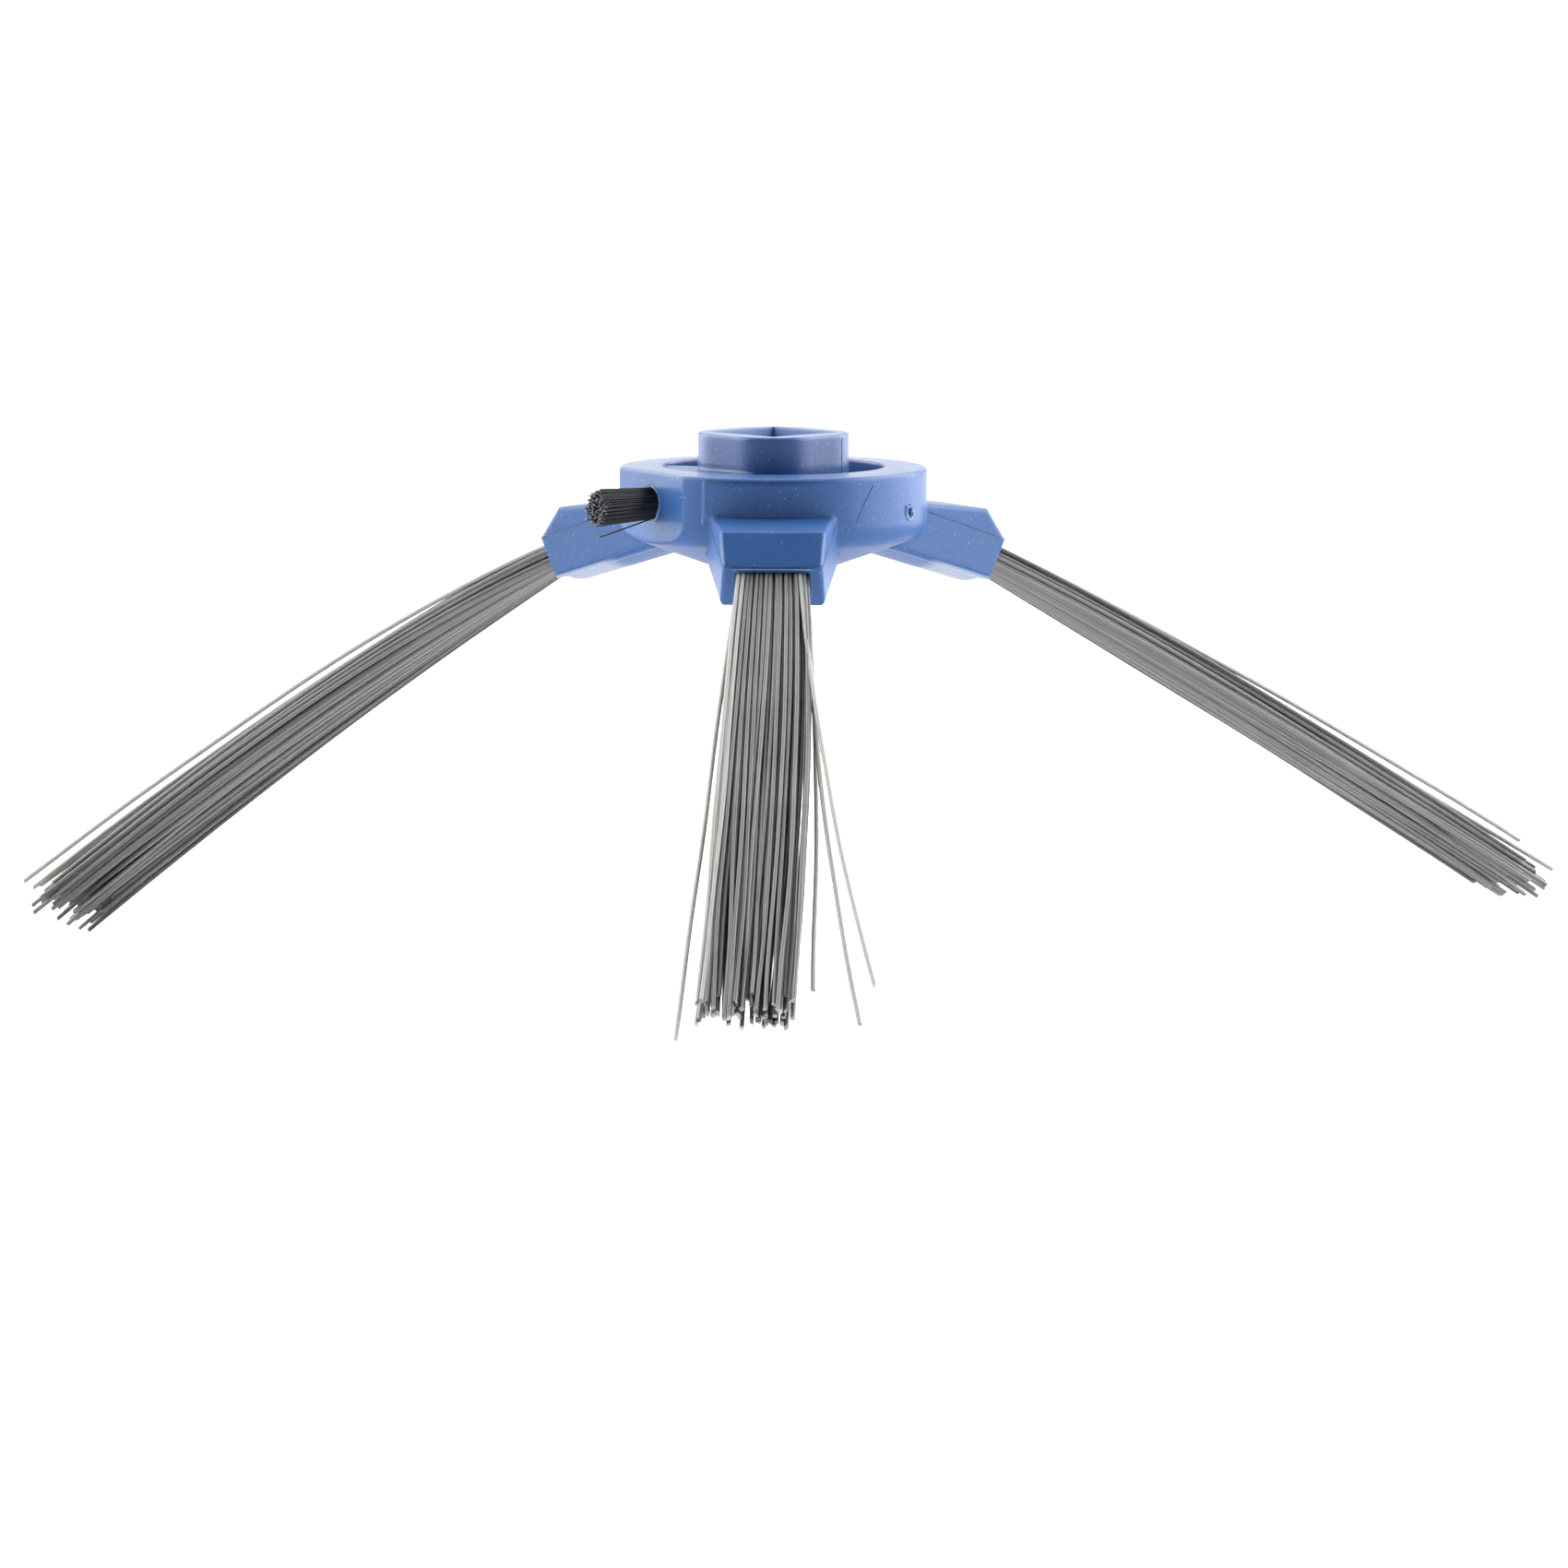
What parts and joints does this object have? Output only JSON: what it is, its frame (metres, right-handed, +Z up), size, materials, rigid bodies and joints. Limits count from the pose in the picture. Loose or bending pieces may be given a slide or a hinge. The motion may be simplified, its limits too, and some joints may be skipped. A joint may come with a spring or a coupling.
{
  "type": "robot vacuum side brush",
  "caption": "Moulded blue hub with a square drive socket, splayed flat tufts of grey filaments and a short round black tuft; spun to sweep dust under a robot vacuum.",
  "frame": {"origin": "on the spin axis, in the rim plane of the square drive boss, at the socket's mouth", "axes": "+Z up along the spin axis, out of the socket's mouth; -Y along the front holder"},
  "size_m": [0.1475, 0.129, 0.0515],
  "materials": {
    "hub_plastic": "semi-gloss, moulded",
    "grey_nylon": "extruded filament",
    "black_nylon": "fine filament",
    "staple_wire": "drawn flat wire"
  },
  "bodies": {
    "root": {"hub": "hub_plastic", "tuft_front": "grey_nylon", "tuft_right": "grey_nylon", "tuft_left": "grey_nylon", "sensor_tuft": "black_nylon", "tuft_staple": "staple_wire"}
  },
  "joints": []
}
